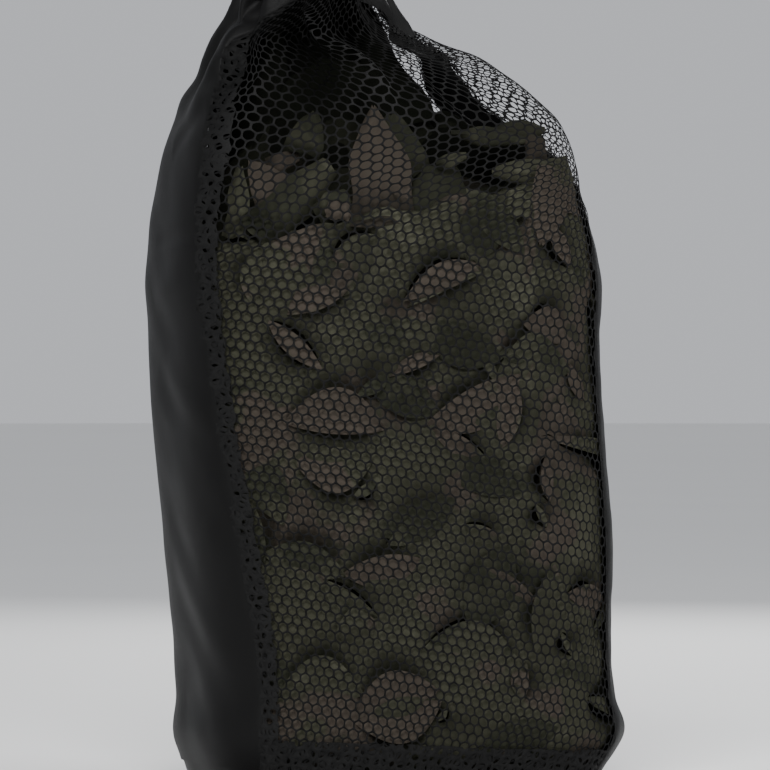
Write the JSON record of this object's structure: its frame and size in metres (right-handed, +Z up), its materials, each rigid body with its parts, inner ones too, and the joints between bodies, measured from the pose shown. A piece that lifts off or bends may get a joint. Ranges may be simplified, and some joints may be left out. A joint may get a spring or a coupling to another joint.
{
  "type": "camouflage net in a mesh carry bag",
  "caption": "Leaf-cut camouflage net folded upright in a standing carry bag with mesh front and back, nylon sides and base, and a gathered mouth.",
  "frame": {"origin": "middle of the bag's box at the flat underside of its base panel", "axes": "+Z up from the base to the gathered mouth, -Y out of the mesh front that the picture shows, +X to the right seen from the front"},
  "size_m": [0.2548, 0.1702, 0.4725],
  "materials": {
    "camouflage_cloth": null,
    "black_mesh": "satin warp-knit hexagonal mesh",
    "black_nylon": "satin woven nylon"
  },
  "bodies": {
    "root": {"camouflage_net": "camouflage_cloth", "mesh_front": "black_mesh", "mesh_back": "black_mesh", "side_left": "black_nylon", "side_right": "black_nylon", "base_panel": "black_nylon", "mouth_casing": "black_nylon"}
  },
  "joints": []
}
